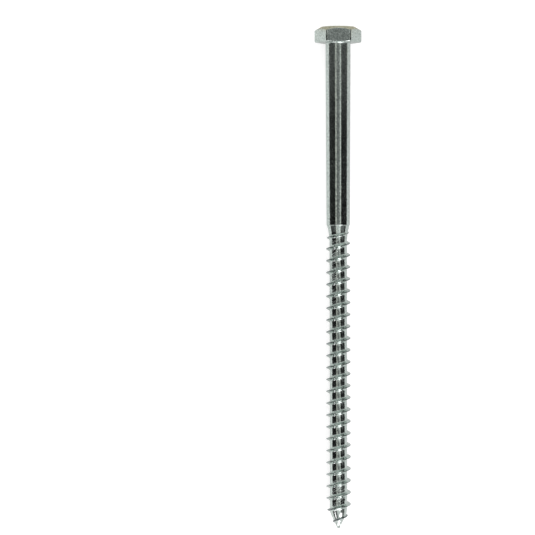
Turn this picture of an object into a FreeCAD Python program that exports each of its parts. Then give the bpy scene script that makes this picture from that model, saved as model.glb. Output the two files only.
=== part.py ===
import FreeCAD, Part
import math
import os

# Coach screw with a hexagon head, a gimlet point and a right hand coarse thread.
# Lengths are in millimetres. The screw is first made on its own axis: the bearing face of the
# head is at z = 0, the head is above it and the tip points down. Then it is laid down to rest.

# overall, head and the slope under it
LENGTH = 150.0
HEAD_HEIGHT = 4.85
ACROSS_FLATS = 12.8
CORNER_ROUNDING = 0.9
TOP_FLAT_DIAMETER = 10.4
TOP_CHAMFER_ANGLE = 30.0
UNDERHEAD_SLOPE = 0.5

# plain shank, straight below the head and slimmer towards the thread, and the neck below it
SHANK_DIAMETER = 7.7
SHANK_STRAIGHT_LENGTH = 9.0
SHANK_DIAMETER_AT_NECK = 7.22
SHANK_LENGTH = 56.1
STEP_DEPTH = 0.14
NECK_ANGLE = 31.0
CORE_FLARE_LENGTH = 4.8
CORE_FLARE_ANGLE = 10.2

# thread, with its upper end measured from the end of the shank
PITCH = 3.67
CREST_DIAMETER_AT_NECK = 7.4
CREST_DIAMETER_AT_POINT = 7.65
CORE_DIAMETER_AT_NECK = 5.4
CORE_DIAMETER_AT_POINT = 5.3
BASE_WIDTH = 1.75
RIGHT_CREST_BELOW_SHANK = 5.67
RUNOUT_LENGTH = 6.2
RUNOUT_END_DIAMETER = 6.2
RUNOUT_PITCH = 3.2
NARROWEST_SHARE = 0.35

# gimlet point
POINT_ANGLE = 50.0
TIP_DIAMETER = 0.75
POINT_CREST_ANGLE = 70.0
CORE_BLEND = 0.4
CREST_BLEND = 2.2

SAMPLES_PER_TURN = 13
TIP_RADIUS = TIP_DIAMETER / 2
THREAD_HEIGHT = (CREST_DIAMETER_AT_NECK - CORE_DIAMETER_AT_NECK) / 2
RIGHT_CREST_DEPTH = SHANK_LENGTH + RIGHT_CREST_BELOW_SHANK
LOWEST_TURN = math.floor((RIGHT_CREST_DEPTH - LENGTH - PITCH) / PITCH)
V = FreeCAD.Vector


def slope(full_angle):
    """Radius gained per millimetre along a cone of this full angle."""
    return math.tan(math.radians(full_angle / 2))


def soft_min(a, b, width):
    """The smaller of two values, rounded over where they meet."""
    overlap = max(width - abs(a - b), 0.0) / width
    return min(a, b) - overlap * overlap * width / 4


def along_thread(z, at_neck, at_point):
    """A radius that changes evenly from one diameter at the neck to another at the point."""
    share = (-SHANK_LENGTH - z) / (LENGTH - SHANK_LENGTH)
    return (at_neck + share * (at_point - at_neck)) / 2


def core_radius(z):
    """Radius of the core: a cone at the point, nearly a cylinder, and a flare to the neck."""
    cone = TIP_RADIUS + (z + LENGTH) * slope(POINT_ANGLE)
    flare_height = max(z + SHANK_LENGTH + CORE_FLARE_LENGTH, 0.0)
    core = along_thread(z, CORE_DIAMETER_AT_NECK, CORE_DIAMETER_AT_POINT)
    flare = core + flare_height * slope(CORE_FLARE_ANGLE)
    return max(soft_min(cone, flare, CORE_BLEND), TIP_RADIUS)


def crest_radius(z):
    """Radius of the crest: it grows out of the point and fades into the neck."""
    cone = TIP_RADIUS + (z + LENGTH) * slope(POINT_CREST_ANGLE)
    fade = (z + SHANK_LENGTH + RUNOUT_LENGTH) / RUNOUT_LENGTH
    crest = along_thread(z, CREST_DIAMETER_AT_NECK, CREST_DIAMETER_AT_POINT)
    runout = crest - max(fade, 0.0) * (crest - RUNOUT_END_DIAMETER / 2)
    return max(min(soft_min(cone, crest, CREST_BLEND), runout), core_radius(z))


def crest_place(turn):
    """Where the crest is along the axis: its last turns, in the run out, are closer together."""
    return min(turn, 0) * PITCH + max(turn, 0) * RUNOUT_PITCH - RIGHT_CREST_DEPTH


def edge_point(turn, side, share):
    """A point on a helical edge: side is its distance along the axis from the crest line."""
    middle = crest_place(turn)
    height = crest_radius(middle) - core_radius(middle)
    narrowing = NARROWEST_SHARE + (1 - NARROWEST_SHARE) * min(height / THREAD_HEIGHT, 1.0)
    z = middle + side * narrowing
    radius = core_radius(z) + share * height
    angle = 2 * math.pi * turn
    return V(radius * math.cos(angle), radius * math.sin(angle), z)


def profile_points(turn):
    """Corners of the thread at one place: root, crest, root, and the next turn's root."""
    corners = [(-BASE_WIDTH / 2, 0), (0, 1), (BASE_WIDTH / 2, 0)]
    points = [edge_point(turn, side, share) for side, share in corners]
    return points + [edge_point(turn + 1, -BASE_WIDTH / 2, 0)]


def helical_curves(turn):
    """The four helical edges of one turn, lowest first."""
    steps = [i / SAMPLES_PER_TURN for i in range(SAMPLES_PER_TURN + 1)]
    rows = [profile_points(turn + step) for step in steps]
    curves = []
    for column in zip(*rows):
        curve = Part.BSplineCurve()
        curve.interpolate(Points=list(column), Parameters=steps)
        curves.append(curve)
    return curves


def strip(a, b):
    """The face swept straight across between two helical edges."""
    poles = [[p, q] for p, q in zip(a.getPoles(), b.getPoles())]
    surface = Part.BSplineSurface()
    surface.buildFromPolesMultsKnots(
        poles, a.getMultiplicities(), [2, 2], a.getKnots(), [0, 1], False, False, a.Degree, 1
    )
    return surface.toShape()


def end_cap(curve, corners):
    """Closes one end: a winding floor from the last edge to the axis, and one upright flat."""
    low = V(0, 0, corners[0].z)
    high = V(0, 0, corners[-1].z)
    floor = Part.makeRuledSurface(curve.toShape(), Part.makeLine(low, high))
    upright = Part.Face(Part.makePolygon([low] + corners + [high, low]))
    return [floor, upright]


def threaded_core():
    """Core and thread as one solid, from below the tip to inside the neck."""
    first = LOWEST_TURN
    last = 2
    faces = []
    for turn in range(first, last):
        curves = helical_curves(turn)
        faces += [strip(a, b) for a, b in zip(curves, curves[1:])]
        if turn == first:
            faces += end_cap(curves[0], profile_points(first))
        if turn == last - 1:
            faces += end_cap(curves[-1], profile_points(last))
    shell = Part.makeShell(faces)
    shell.sewShape()
    solid = Part.Solid(shell)
    if solid.Volume < 0:
        solid.reverse()
    below_tip = Part.makeBox(4, 4, 3 * PITCH, V(-2, -2, -LENGTH - 3 * PITCH))
    return solid.cut(below_tip)


def revolved(outline):
    """A solid turned about the axis from radius and height pairs."""
    points = [V(r, 0, z) for r, z in outline]
    face = Part.Face(Part.makePolygon(points + points[:1]))
    return face.revolve(V(0, 0, 0), V(0, 0, 1), 360)


def shank_and_neck():
    """The plain shank, the small step at its end and the neck."""
    top = SHANK_DIAMETER / 2
    bottom = SHANK_DIAMETER_AT_NECK / 2
    step = bottom - STEP_DEPTH
    inside = CORE_DIAMETER_AT_NECK / 2 * 0.95
    end_z = -SHANK_LENGTH - STEP_DEPTH - (step - inside) / slope(NECK_ANGLE)
    taper = Part.BSplineCurve()
    taper_ends = [V(top, 0, -SHANK_STRAIGHT_LENGTH), V(bottom, 0, -SHANK_LENGTH)]
    taper.buildFromPolesMultsKnots(taper_ends, [2, 2], [0, 1], False, 1)
    rest = [
        V(bottom, 0, -SHANK_LENGTH),
        V(step, 0, -SHANK_LENGTH - STEP_DEPTH),
        V(inside, 0, end_z),
        V(0, 0, end_z),
        V(0, 0, HEAD_HEIGHT / 2),
        V(top, 0, HEAD_HEIGHT / 2),
        V(top, 0, -SHANK_STRAIGHT_LENGTH),
    ]
    wire = Part.Wire([taper.toShape()] + Part.makePolygon(rest).Edges)
    return Part.Face(wire).revolve(V(0, 0, 0), V(0, 0, 1), 360)


def underhead_slope():
    """The small slope where the shank meets the head."""
    shank = SHANK_DIAMETER / 2
    size = UNDERHEAD_SLOPE
    return revolved([(shank - size, 0), (shank + size, 0), (shank, -size), (shank - size, -size)])


def head():
    """The hexagon with rounded corners, cut by the cone of its top chamfer."""
    corner = ACROSS_FLATS / math.sqrt(3)
    angles = [math.radians(60 * i) for i in range(7)]
    outline = Part.makePolygon([V(corner * math.cos(a), corner * math.sin(a), 0) for a in angles])
    prism = Part.Face(outline).extrude(V(0, 0, HEAD_HEIGHT))
    upright = [e for e in prism.Edges if abs(e.Length - HEAD_HEIGHT) < 0.01 and is_upright(e)]
    prism = prism.makeFillet(CORNER_ROUNDING, upright)
    flat = TOP_FLAT_DIAMETER / 2
    reach = corner + 1
    drop = (reach - flat) * math.tan(math.radians(TOP_CHAMFER_ANGLE))
    cap = revolved(
        [(0, -1), (reach, -1), (reach, HEAD_HEIGHT - drop), (flat, HEAD_HEIGHT), (0, HEAD_HEIGHT)]
    )
    return prism.common(cap)


def is_upright(edge):
    """Whether a straight edge runs along the axis."""
    ends = [v.Point for v in edge.Vertexes]
    return abs(ends[0].x - ends[1].x) < 0.01 and abs(ends[0].y - ends[1].y) < 0.01


def lie_down(shape):
    """Lays the screw on one flat of its head and on the thread, centred, with z = 0 below."""
    half_flat = ACROSS_FLATS / 2
    leans = []
    for turn in range(LOWEST_TURN, 0):
        depth = -crest_place(turn + 0.25)
        leans.append(math.atan((half_flat - crest_radius(-depth)) / depth))
    lean = min(leans)
    shape.rotate(V(0, 0, 0), V(1, 0, 0), -90 + math.degrees(lean))
    top = HEAD_HEIGHT * math.cos(lean) + TOP_FLAT_DIAMETER / 2 * math.sin(lean)
    tip = LENGTH * math.cos(lean) + TIP_RADIUS * math.sin(lean)
    shape.translate(V(0, (tip - top) / 2, half_flat * math.cos(lean)))
    return shape


screw = threaded_core().fuse(shank_and_neck())
screw = screw.fuse([head(), underhead_slope()])
screw = lie_down(screw.Solids[0])
os.makedirs("parts", exist_ok=True)
screw.exportStep("parts/coach_screw.step")
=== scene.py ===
import math
import bmesh
import bpy
from mathutils import Matrix, Vector

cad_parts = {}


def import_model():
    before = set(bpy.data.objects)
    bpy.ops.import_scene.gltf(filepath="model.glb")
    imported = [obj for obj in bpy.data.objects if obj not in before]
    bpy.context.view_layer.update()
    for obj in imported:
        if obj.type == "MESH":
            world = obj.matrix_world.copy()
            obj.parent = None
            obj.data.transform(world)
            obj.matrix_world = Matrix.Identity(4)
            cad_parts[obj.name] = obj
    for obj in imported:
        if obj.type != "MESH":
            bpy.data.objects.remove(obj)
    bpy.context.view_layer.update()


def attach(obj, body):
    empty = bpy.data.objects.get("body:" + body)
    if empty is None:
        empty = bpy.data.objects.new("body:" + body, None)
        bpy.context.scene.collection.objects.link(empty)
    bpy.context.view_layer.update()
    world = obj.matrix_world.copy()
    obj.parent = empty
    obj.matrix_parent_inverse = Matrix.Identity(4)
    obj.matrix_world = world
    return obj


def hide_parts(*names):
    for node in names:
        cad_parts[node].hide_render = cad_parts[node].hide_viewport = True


# Looks of a zinc plated coach screw that lies on a pale floor, seen from straight above.
# Lengths of the screw are in millimetres on its own axis, as it is turned: the bearing face of
# the head is at z = 0, the head is above it and the tip points down. MM takes them to metres.
MM = 0.001

# overall, head and the fillet under it
LENGTH = 150.0
HEAD_HEIGHT = 4.85
ACROSS_FLATS = 12.8
CORNER_ROUNDING = 0.9
TOP_FLAT_DIAMETER = 10.4
TOP_CHAMFER_ANGLE = 30.0
UNDERHEAD_FILLET = 0.45
TOP_EDGE_ROUNDING = 0.15
CHAMFER_EDGE_ROUNDING = 0.12
LOWER_EDGE_ROUNDING = 0.05
LOWER_CORNER_ROUNDING = 0.5

# plain shank, its end ring and the neck
SHANK_DIAMETER = 7.7
SHANK_STRAIGHT_LENGTH = 9.0
SHANK_DIAMETER_AT_NECK = 7.22
SHANK_LENGTH = 56.2
STEP_DEPTH = 0.14
STEP_LENGTH = 0.2
STEP_ROUNDING = 0.05
NECK_ANGLE = 31.0
NECK_BLEND = 0.2
CORE_FLARE_LENGTH = 4.8
CORE_FLARE_ANGLE = 10.2

# thread
PITCH = 3.67
CREST_DIAMETER_AT_NECK = 7.4
CREST_DIAMETER_AT_POINT = 7.65
CORE_DIAMETER_AT_NECK = 5.4
CORE_DIAMETER_AT_POINT = 5.3
BASE_WIDTH = 1.15
CREST_LAND = 0.24
CREST_ROUNDING = 0.06
UPPER_ROOT_ROUNDING = 0.3
LOWER_ROOT_ROUNDING = 0.55
RIGHT_CREST_BELOW_SHANK = 5.57
RUNOUT_LENGTH = 6.1
RUNOUT_END_DIAMETER = 6.2
RUNOUT_PITCH = 3.2
NARROWEST_SHARE = 0.35

# gimlet point
POINT_ANGLE = 50.0
TIP_DIAMETER = 0.75
POINT_CREST_ANGLE = 70.0
CORE_BLEND = 0.4
CREST_BLEND = 2.2

# mesh fineness
STEPS_PER_TURN = 72
ARC_STEPS = 4
CORNER_STEPS = 8
FLAT_STEPS = 14

# what follows from them
TIP_RADIUS = TIP_DIAMETER / 2
THREAD_HEIGHT = (CREST_DIAMETER_AT_NECK - CORE_DIAMETER_AT_NECK) / 2
RIGHT_CREST_DEPTH = SHANK_LENGTH + RIGHT_CREST_BELOW_SHANK
NECK_TOP = -SHANK_LENGTH - STEP_LENGTH
LOWEST_TURN = math.floor((RIGHT_CREST_DEPTH - LENGTH - PITCH) / PITCH)
HIGHEST_TURN = 3

# plating: its colours, and the height of its grain in metres
DARK_ZINC = (0.42, 0.485, 0.455, 1)
PALE_ZINC = (0.6, 0.675, 0.64, 1)
# painted shade of the fold seam along the thread's crest
SEAM_SHADE_COLOUR = (0.17, 0.2, 0.2, 1)
GRAIN_HEIGHT = 0.00002

# camera, in metres: its height above the screw's axis and what its picture spans there
CAMERA_HEIGHT = 0.8
PICTURE_SPAN = 0.16506
CAMERA_X = -0.02186
CAMERA_Y = 0.003214
CAMERA_ROLL = -0.09

# cards that the plating mirrors: where the grey one starts, in front of the head, and how high
# the black ones beside the screw stand, in metres
GREY_CARD_START = 0.0785
GREY_CARD_SIZE = 0.4
BLACK_CARD_HEIGHT = 0.0094
BLACK_CARD_LENGTH = 0.8


def slope(full_angle):
    """Radius gained per millimetre along a cone of this full angle."""
    return math.tan(math.radians(full_angle / 2))


def soft_min(a, b, width):
    """The smaller of two values, rounded over where they meet."""
    overlap = max(width - abs(a - b), 0.0) / width
    return min(a, b) - overlap * overlap * width / 4


def along_thread(z, at_neck, at_point):
    """A radius that changes evenly from one diameter at the neck to another at the point."""
    share = (-SHANK_LENGTH - z) / (LENGTH - SHANK_LENGTH)
    return (at_neck + share * (at_point - at_neck)) / 2


def core_radius(z):
    """Radius of the core: point, cylinder, slight flare and the neck's cone."""
    cone = TIP_RADIUS + (z + LENGTH) * slope(POINT_ANGLE)
    flare_height = max(z + SHANK_LENGTH + CORE_FLARE_LENGTH, 0.0)
    core = along_thread(z, CORE_DIAMETER_AT_NECK, CORE_DIAMETER_AT_POINT)
    flare = core + flare_height * slope(CORE_FLARE_ANGLE)
    step = SHANK_DIAMETER_AT_NECK / 2 - STEP_DEPTH
    neck = step + min(z - NECK_TOP, 0.0) * slope(NECK_ANGLE)
    wide = -soft_min(-flare, -neck, NECK_BLEND)
    return max(soft_min(cone, min(wide, step), CORE_BLEND), TIP_RADIUS)


def crest_radius(z):
    """Radius of the crest: it grows out of the point and fades into the neck."""
    cone = TIP_RADIUS + (z + LENGTH) * slope(POINT_CREST_ANGLE)
    fade = (z + SHANK_LENGTH + RUNOUT_LENGTH) / RUNOUT_LENGTH
    crest = along_thread(z, CREST_DIAMETER_AT_NECK, CREST_DIAMETER_AT_POINT)
    runout = crest - max(fade, 0.0) * (crest - RUNOUT_END_DIAMETER / 2)
    return max(min(soft_min(cone, crest, CREST_BLEND), runout), core_radius(z))


def crest_place(turn):
    """Where the crest is along the axis: its last turns, in the run out, are closer together."""
    return min(turn, 0) * PITCH + max(turn, 0) * RUNOUT_PITCH - RIGHT_CREST_DEPTH


def arc(corner, before, after, radius):
    """Points of the arc that rounds one corner of a path."""
    if radius == 0:
        return [corner]
    back = (before - corner).normalized()
    ahead = (after - corner).normalized()
    half = back.angle(ahead) / 2
    if half > math.radians(89.5):
        return [corner] * (ARC_STEPS + 1)
    centre = corner + (back + ahead).normalized() * radius / math.sin(half)
    start = corner + back * radius / math.tan(half) - centre
    end = corner + ahead * radius / math.tan(half) - centre
    sweep = math.pi - 2 * half
    points = []
    for step in range(ARC_STEPS + 1):
        share = step / ARC_STEPS
        turned = start * math.sin((1 - share) * sweep) + end * math.sin(share * sweep)
        points.append(centre + turned / math.sin(sweep))
    return points


def rounded(corners):
    """A path of (x, y, rounding radius) corners, with each corner inside it rounded."""
    places = [Vector((x, y)) for x, y, _ in corners]
    path = [places[0]]
    for i in range(1, len(corners) - 1):
        path += arc(places[i], places[i - 1], places[i + 1], corners[i][2])
    return path + [places[-1]]


def hexagon_radius(angle):
    """Distance from the axis to the side of the head, whose corners are rounded."""
    off_corner = abs((angle + math.radians(30)) % math.radians(60) - math.radians(30))
    centre = (ACROSS_FLATS / 2 - CORNER_ROUNDING) / math.cos(math.radians(30))
    if off_corner < corner_half_angle():
        reach = CORNER_ROUNDING ** 2 - (centre * math.sin(off_corner)) ** 2
        return centre * math.cos(off_corner) + math.sqrt(reach)
    return ACROSS_FLATS / 2 / math.cos(math.radians(30) - off_corner)


def corner_half_angle():
    """Half of the angle that a rounded corner of the head takes, seen from the axis."""
    centre = (ACROSS_FLATS / 2 - CORNER_ROUNDING) / math.cos(math.radians(30))
    across = CORNER_ROUNDING * math.sin(math.radians(30))
    return math.atan2(across, centre + CORNER_ROUNDING * math.cos(math.radians(30)))


def blank_angles():
    """Angles of the head's and shank's sections, closer together at the hexagon's corners."""
    half = corner_half_angle()
    angles = []
    for corner in range(6):
        middle = math.radians(60 * corner)
        angles += [middle + half * (2 * i / CORNER_STEPS - 1) for i in range(CORNER_STEPS)]
        flat = math.radians(60) - 2 * half
        angles += [middle + half + flat * i / FLAT_STEPS for i in range(FLAT_STEPS)]
    return angles


def blank_section(angle):
    """Section of head and shank at one angle, as (radius, z) points from top to bottom."""
    side = hexagon_radius(angle)
    flat = TOP_FLAT_DIAMETER / 2
    shoulder = HEAD_HEIGHT - (side - flat) * math.tan(math.radians(TOP_CHAMFER_ANGLE))
    at_corner = (side - ACROSS_FLATS / 2) / (hexagon_radius(0) - ACROSS_FLATS / 2)
    below = LOWER_EDGE_ROUNDING + at_corner * (LOWER_CORNER_ROUNDING - LOWER_EDGE_ROUNDING)
    shank = SHANK_DIAMETER / 2
    end = SHANK_DIAMETER_AT_NECK / 2
    return rounded([
        (0, HEAD_HEIGHT, 0),
        (flat, HEAD_HEIGHT, TOP_EDGE_ROUNDING),
        (side, shoulder, CHAMFER_EDGE_ROUNDING),
        (side, 0, below),
        (shank, 0, UNDERHEAD_FILLET),
        (shank, -SHANK_STRAIGHT_LENGTH, 0),
        (end, -SHANK_LENGTH, STEP_ROUNDING),
        (end - STEP_DEPTH, NECK_TOP, 0),
        (0, NECK_TOP, 0),
    ])


def thread_section(turn):
    """Section of the thread at one turn, as (radius, z) points from root to root."""
    middle = crest_place(turn)
    height = crest_radius(middle) - core_radius(middle)
    narrowing = NARROWEST_SHARE + (1 - NARROWEST_SHARE) * min(height / THREAD_HEIGHT, 1.0)
    base = BASE_WIDTH / 2 * narrowing
    land = CREST_LAND / 2 * narrowing
    path = rounded([
        (-PITCH / 2, 0, 0),
        (-base, 0, LOWER_ROOT_ROUNDING * narrowing),
        (-land, height, CREST_ROUNDING * narrowing),
        (land, height, CREST_ROUNDING * narrowing),
        (base, 0, UPPER_ROOT_ROUNDING * narrowing),
        (PITCH / 2, 0, 0),
    ])
    return [(core_radius(middle + along) + rise, middle + along) for along, rise in path]


def rise_share(place):
    """How far up the thread a point is: 0 on the core and 1 on the crest."""
    core = core_radius(place.z)
    height = crest_radius(place.z) - core
    return (math.hypot(place.x, place.y) - core) / height if height > 0.05 else 0


def lean():
    """Angle by which the axis dips from the head towards the tip when the screw lies."""
    leans = []
    for turn in range(LOWEST_TURN, 0):
        depth = -crest_place(turn + 0.25)
        leans.append(math.atan((ACROSS_FLATS / 2 - crest_radius(-depth)) / depth))
    return min(leans)


def laid_down():
    """Matrix from the screw's own axis to where it lies, in metres."""
    dip = lean()
    top = HEAD_HEIGHT * math.cos(dip) + TOP_FLAT_DIAMETER / 2 * math.sin(dip)
    tip = LENGTH * math.cos(dip) + TIP_RADIUS * math.sin(dip)
    turned = Matrix.Rotation(math.radians(-90) + dip, 4, "X")
    place = Vector((0, (tip - top) / 2, ACROSS_FLATS / 2 * math.cos(dip)))
    return Matrix.Scale(MM, 4) @ Matrix.Translation(place) @ turned


def write_rises(work):
    """Keeps how far up the thread each point is in a UV map."""
    rises = work.loops.layers.uv.new("rise")
    for face in work.faces:
        for loop in face.loops:
            loop[rises].uv = (0, rise_share(loop.vert.co))


def piece(name, points, faces, material, threaded=False):
    """A closed smooth mesh of the screw, laid down where the frame has it."""
    mesh = bpy.data.meshes.new(name)
    mesh.from_pydata(points, [], faces)
    work = bmesh.new()
    work.from_mesh(mesh)
    bmesh.ops.remove_doubles(work, verts=work.verts, dist=1e-4)
    bmesh.ops.dissolve_degenerate(work, edges=work.edges, dist=1e-4)
    bmesh.ops.recalc_face_normals(work, faces=work.faces)
    if threaded:
        write_rises(work)
    work.to_mesh(mesh)
    work.free()
    mesh.transform(laid_down())
    mesh.shade_smooth()
    mesh.materials.append(material)
    made = bpy.data.objects.new(name, mesh)
    bpy.context.scene.collection.objects.link(made)
    made.modifiers.new("flat faces stay flat", "WEIGHTED_NORMAL")
    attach(made, "root")
    return made


def around(radius, z, angle):
    """The point at this radius, height and angle."""
    return (radius * math.cos(angle), radius * math.sin(angle), z)


def blank(material):
    """Head and plain shank."""
    angles = blank_angles()
    sections = [blank_section(angle) for angle in angles]
    rows = len(sections[0])
    points = [around(*place, a) for a, section in zip(angles, sections) for place in section]
    faces = []
    for i in range(len(angles)):
        here = i * rows
        ahead = (i + 1) % len(angles) * rows
        faces += [(here + j, ahead + j, ahead + j + 1, here + j + 1) for j in range(rows - 1)]
    return piece("head_and_shank", points, faces, material)


def thread(material):
    """Neck, core, thread and gimlet point, on a grid that winds with the thread."""
    first = LOWEST_TURN * STEPS_PER_TURN
    last = HIGHEST_TURN * STEPS_PER_TURN
    top = -SHANK_LENGTH + PITCH / 2
    points = []
    for step in range(first, last):
        turn = step / STEPS_PER_TURN
        for radius, z in thread_section(turn)[:-1]:
            inside = -LENGTH < z < top
            z = min(max(z, -LENGTH), top)
            points.append(around(radius if inside else 0, z, turn * 2 * math.pi))
    rows = len(thread_section(0)) - 1
    faces = []
    for i in range(last - first - STEPS_PER_TURN - 1):
        column = list(range(i * rows, (i + 1) * rows)) + [(i + STEPS_PER_TURN) * rows]
        beside = [place + rows for place in column]
        for j in range(rows):
            faces.append((column[j], beside[j], beside[j + 1], column[j + 1]))
    return piece("thread_and_point", points, faces, material, threaded=True)


class Nodes:
    """Short calls for building a node tree."""

    def __init__(self, tree):
        self.tree = tree

    def add(self, kind, **inputs):
        """A new node, with the inputs set to values or linked to outputs."""
        node = self.tree.nodes.new(kind)
        for name, value in inputs.items():
            self.set(node, name.replace("_", " "), value)
        return node

    def set(self, node, name, value):
        """Sets or links one input, by name or by number."""
        socket = node.inputs[name]
        if isinstance(value, bpy.types.NodeSocket):
            self.tree.links.new(value, socket)
        else:
            socket.default_value = value

    def math(self, operation, a, b=0.0):
        """A math node's output."""
        node = self.tree.nodes.new("ShaderNodeMath")
        node.operation = operation
        self.set(node, 0, a)
        self.set(node, 1, b)
        return node.outputs[0]

    def noise(self, coordinates, scale, detail=2.0):
        """The value of a noise texture."""
        node = self.add("ShaderNodeTexNoise", Vector=coordinates, Scale=scale, Detail=detail)
        return node.outputs["Fac"]

    def stretched(self, coordinates, scale, rotation=(0, 0, 0)):
        """Coordinates scaled and turned."""
        node = self.add("ShaderNodeMapping", Vector=coordinates, Scale=scale, Rotation=rotation)
        return node.outputs["Vector"]

    def along(self, direction, towards):
        """How nearly a direction points this way, from -1 to 1."""
        node = self.tree.nodes.new("ShaderNodeVectorMath")
        node.operation = "DOT_PRODUCT"
        self.set(node, 0, direction)
        self.set(node, 1, towards)
        return node.outputs["Value"]

    def mix(self, share, first, second):
        """One colour turning into another."""
        return self.add("ShaderNodeMixRGB", Fac=share, Color1=first, Color2=second).outputs[0]

    def ramp(self, value, stops):
        """A grey ramp through (position, level) stops."""
        node = self.add("ShaderNodeValToRGB", Fac=value)
        points = node.color_ramp.elements
        while len(points) < len(stops):
            points.new(1.0)
        for point, (position, level) in zip(points, stops):
            point.position = position
            point.color = (level, level, level, 1)
        return node.outputs["Color"]


def gloss(nodes, place, along, grain, worn):
    """Roughness of the plating: mottled, with fine specks, and duller towards the head."""
    mottle = nodes.math("MULTIPLY", nodes.noise(place, 420, 4), 0.16)
    specks = nodes.ramp(grain, [(0.42, 0.0), (0.68, 1.0)])
    specks = nodes.math("MULTIPLY", nodes.math("MULTIPLY", specks, worn), 0.22)
    dull = nodes.ramp(along, [(0.72, 0.0), (0.83, 0.095)])
    return nodes.math("ADD", nodes.math("ADD", dull, specks), mottle)


def crest_seam_shade(nodes, side, along, rise):
    """Painted shade of a fold seam on the crest: dark, fainter on top and towards the point. It
    covers the last ridge.
    """
    at_tip = nodes.ramp(along, [(0.1405, 0.55), (0.1455, 0.0)])
    crest = nodes.ramp(nodes.math("ADD", rise, at_tip), [(0.9, 0.0), (0.97, 1.0)])
    # painted shade: darker towards the sides of the screw than on top
    off_top = nodes.math("MULTIPLY", nodes.math("ABSOLUTE", side), 200.0)
    off_top = nodes.ramp(nodes.math("ADD", off_top, at_tip), [(0.16, 0.25), (0.42, 1.0)])
    strength = nodes.ramp(along, [(0.142, 1.0), (0.148, 0.35), (0.24, 0.5), (0.4, 0.9)])
    return nodes.math("MULTIPLY", nodes.math("MULTIPLY", crest, off_top), strength)


def slanting_marks(nodes, place, side, along):
    """Slanting marks on the core: near the neck on its left, near the point on both sides."""
    turned = nodes.stretched(place, (1, 1, 1), (0, 0, -0.6))
    marks = nodes.noise(nodes.stretched(turned, (300, 2000, 300)), 1.0, 1)
    marks = nodes.ramp(marks, [(0.5, 0.0), (0.6, 1.0)])
    at_neck = nodes.ramp(along, [(0.44, 0.0), (0.5, 1.0), (0.555, 1.0), (0.56, 0.0)])
    at_neck = nodes.math("MULTIPLY", at_neck, nodes.math("LESS_THAN", side, 0.0))
    at_point = nodes.ramp(along, [(0.142, 0.0), (0.15, 0.8), (0.185, 0.8), (0.19, 0.0)])
    return nodes.math("MULTIPLY", marks, nodes.math("ADD", at_neck, at_point))


def zinc(name, rolled):
    """Bright zinc plating with fine grain and drawing lines along the screw.

    Where it is rolled, the ridge is smooth with a seam on its crest, darkened by painted shade, and
    the core has marks.
    Along is 0.11 at the tip and 0.89 at the head.
    """
    material = bpy.data.materials.new(name)
    material.use_nodes = True
    nodes = Nodes(material.node_tree)
    shader = material.node_tree.nodes["Principled BSDF"]
    shader.inputs["Metallic"].default_value = 1.0
    place = nodes.add("ShaderNodeTexCoord").outputs["Object"]
    split = nodes.add("ShaderNodeSeparateXYZ", Vector=place).outputs
    along = nodes.math("ADD", nodes.math("MULTIPLY", split["Y"], 5.0), 0.5)
    grain = nodes.noise(place, 2300, 2)
    lines = nodes.noise(nodes.stretched(place, (5200, 90, 5200)), 1.0, 3)
    height = nodes.math("ADD", grain, nodes.math("MULTIPLY", lines, 0.4))
    worn = nodes.ramp(along, [(0.675, 0.65), (0.76, 0.3), (0.855, 0.3), (0.862, 0.7)])
    depth = nodes.math("MULTIPLY", worn, GRAIN_HEIGHT)
    rough = gloss(nodes, place, along, grain, worn)
    tone_and_painted_light = nodes.ramp(nodes.noise(place, 1900, 1), [(0.4, 0.0), (0.6, 1.0)])
    # paler towards the point: painted light that brightens the thread's lower turns, on top of the
    # random tone
    tone_and_painted_light = nodes.math("ADD", tone_and_painted_light, nodes.ramp(along, [(0.19, 0.55), (0.42, 0.0)]))
    colour = nodes.mix(tone_and_painted_light, DARK_ZINC, PALE_ZINC)
    if rolled:
        rise = nodes.add("ShaderNodeTexCoord").outputs["UV"]
        rise = nodes.add("ShaderNodeSeparateXYZ", Vector=rise).outputs["Y"]
        # the crest seam's darkness is painted shade, fainter on top
        colour = nodes.mix(crest_seam_shade(nodes, split["X"], along, rise), colour, SEAM_SHADE_COLOUR)
        depth = nodes.math("MULTIPLY", nodes.ramp(rise, [(0.1, 1.0), (0.35, 0.15)]), depth)
        marks = slanting_marks(nodes, place, split["X"], along)
        height = nodes.math("ADD", height, nodes.math("MULTIPLY", marks, 3.5))
        rough = nodes.math("ADD", rough, nodes.math("MULTIPLY", marks, 0.1))
    nodes.set(shader, "Base Color", colour)
    nodes.set(shader, "Roughness", rough)
    bump = nodes.add("ShaderNodeBump", Height=height, Distance=depth, Strength=1.0)
    nodes.set(shader, "Normal", bump.outputs["Normal"])
    return material


def floor():
    """A pale floor that keeps the screw's soft shadow and turns white for the eye."""
    bpy.ops.mesh.primitive_plane_add(size=8)
    made = bpy.context.object
    made.name = "floor"
    material = bpy.data.materials.new("floor_white")
    material.use_nodes = True
    nodes = Nodes(material.node_tree)
    shader = material.node_tree.nodes["Principled BSDF"]
    shader.inputs["Base Color"].default_value = (0.6, 0.6, 0.6, 1)
    shader.inputs["Roughness"].default_value = 0.9
    shader.inputs["Specular IOR Level"].default_value = 0.0
    shader.inputs["Emission Color"].default_value = (1, 1, 1, 1)
    path = nodes.add("ShaderNodeLightPath").outputs
    mirrored = nodes.math("MAXIMUM", path["Is Glossy Ray"], path["Is Transmission Ray"])
    place = nodes.add("ShaderNodeTexCoord").outputs["Object"]
    side = nodes.add("ShaderNodeSeparateXYZ", Vector=place).outputs["X"]
    # in mirrors the floor glows more on the screw's left than on its right: painted light that the
    # plating reflects
    seen = nodes.ramp(nodes.math("ADD", side, 0.5), [(0.49, 0.245), (0.51, 0.105)])
    glow = nodes.math("ADD", nodes.math("MULTIPLY", path["Is Camera Ray"], 0.56),
                      nodes.math("MULTIPLY", mirrored, seen))
    nodes.set(shader, "Emission Strength", glow)
    made.data.materials.append(material)


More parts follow.
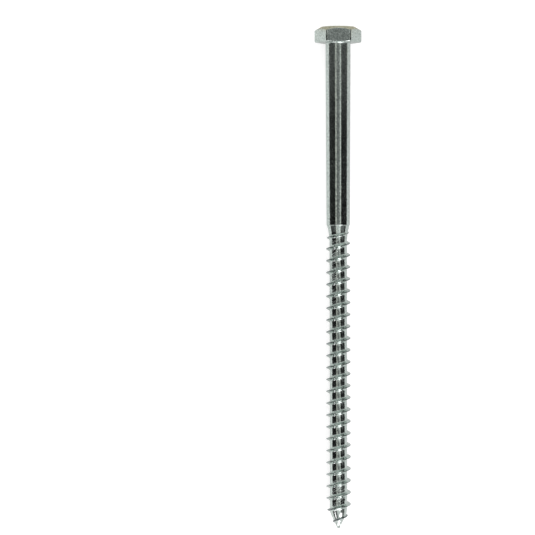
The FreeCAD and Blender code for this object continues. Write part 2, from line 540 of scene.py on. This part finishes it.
def world():
    """A dark studio with soft light above and at both ends, that lights the floor evenly."""
    scene_world = bpy.data.worlds.new("studio")
    bpy.context.scene.world = scene_world
    scene_world.use_nodes = True
    nodes = Nodes(scene_world.node_tree)
    direction = nodes.add("ShaderNodeTexCoord").outputs["Generated"]
    split = nodes.add("ShaderNodeSeparateXYZ", Vector=direction).outputs
    ceiling = nodes.ramp(split["Z"], [(0.06, 0.02), (0.9, 0.01), (0.97, 0.13), (1.0, 0.24)])
    tip_side = nodes.ramp(nodes.math("MULTIPLY", split["Y"], -1.0), [(0.3, 0.0), (0.45, 0.15)])
    to_head = [(0.02, 0.0), (0.04, 0.06), (0.1, 0.18), (0.5, 0.6), (0.85, 1.0)]
    head_side = nodes.ramp(split["Y"], to_head)
    level = nodes.math("MAXIMUM", ceiling, nodes.math("MAXIMUM", tip_side, head_side))
    over_tip = nodes.ramp(nodes.along(direction, (0.08, -0.52, 0.85)), [(0.87, 0.0), (0.97, 0.8)])
    low_at_tip = nodes.ramp(nodes.along(direction, (0.2, -0.91, 0.35)), [(0.82, 0.0), (0.95, 0.9)])
    beside_tip = nodes.ramp(nodes.along(direction, (0.75, -0.46, 0.47)), [(0.9, 0.0), (0.97, 0.2)])
    for glow in (over_tip, low_at_tip, beside_tip):
        level = nodes.math("MAXIMUM", level, glow)
    path = nodes.add("ShaderNodeLightPath").outputs
    background = scene_world.node_tree.nodes["Background"]
    nodes.set(background, "Color", nodes.mix(path["Is Diffuse Ray"], level, (1, 1, 1, 1)))


def lamp(name, tilt, reach, across, along, level, colour):
    """A soft box of this brightness, across by along metres, that faces the screw.

    Reach is its distance in metres. Tilt is its angle off the vertical in degrees, first to the
    side and then towards the tip.
    """
    side, tipwards = (math.radians(angle) for angle in tilt)
    data = bpy.data.lights.new(name, "AREA")
    data.shape = "RECTANGLE"
    data.size = across
    data.size_y = along
    data.energy = level * math.pi * across * along
    data.color = colour
    made = bpy.data.objects.new(name, data)
    turned = Matrix.Rotation(side, 4, "Y") @ Matrix.Rotation(tipwards, 4, "X")
    made.matrix_world = turned @ Matrix.Translation((0, 0, reach))
    made.visible_camera = False
    bpy.context.scene.collection.objects.link(made)


def card(name, centre, size, tilt, colour):
    """A card that the plating mirrors and the camera doesn't see. Tilt stands it up, in degrees."""
    turned = (0, math.radians(tilt), 0)
    bpy.ops.mesh.primitive_plane_add(size=1, location=centre, rotation=turned)
    made = bpy.context.object
    made.name = name
    made.scale = (*size, 1)
    made.visible_camera = False
    made.visible_shadow = False
    made.visible_diffuse = False
    material = bpy.data.materials.new(name)
    material.use_nodes = True
    shader = material.node_tree.nodes["Principled BSDF"]
    shader.inputs["Base Color"].default_value = colour
    shader.inputs["Roughness"].default_value = 1.0
    made.data.materials.append(material)


def camera():
    """Looks straight down, with the head at the top of the picture."""
    data = bpy.data.cameras.new("camera")
    data.sensor_width = 36.0
    data.lens = data.sensor_width * CAMERA_HEIGHT / PICTURE_SPAN
    made = bpy.data.objects.new("camera", data)
    made.location = (CAMERA_X, CAMERA_Y, CAMERA_HEIGHT + ACROSS_FLATS / 2 * MM)
    made.rotation_euler = (0, 0, math.radians(CAMERA_ROLL))
    bpy.context.scene.collection.objects.link(made)
    bpy.context.scene.camera = made


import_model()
screw = blank(zinc("zinc_plate", rolled=False))
winding = thread(zinc("zinc_plate_thread", rolled=True))
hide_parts("coach_screw")
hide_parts("coach_screw")
floor()
world()
lamp("strip_left", (-21.5, 0), 1.0, 0.2, 1.2, 0.66, (1.0, 0.97, 0.9))
lamp("strip_right", (20, 0), 1.0, 0.2, 1.2, 0.76, (1.0, 0.99, 0.95))
lamp("tip_left", (-55, 60), 1.2, 0.2, 1.1, 2.6, (1.0, 0.9, 0.95))
lamp("tip_right", (42, 60), 1.2, 0.6, 1.1, 3.4, (1.0, 0.9, 0.95))
grey_place = (0, GREY_CARD_START + GREY_CARD_SIZE / 2, 0.0003)
card("grey_card", grey_place, (GREY_CARD_SIZE, GREY_CARD_SIZE), 0, (0.555, 0.493, 0.376, 1))
for name, x in (("black_left", -0.12), ("black_right", 0.2)):
    size = (BLACK_CARD_HEIGHT, BLACK_CARD_LENGTH)
    card(name, (x, 0, 0.0048), size, 90, (0.02, 0.02, 0.02, 1))
camera()
bpy.context.scene.view_settings.view_transform = "Standard"
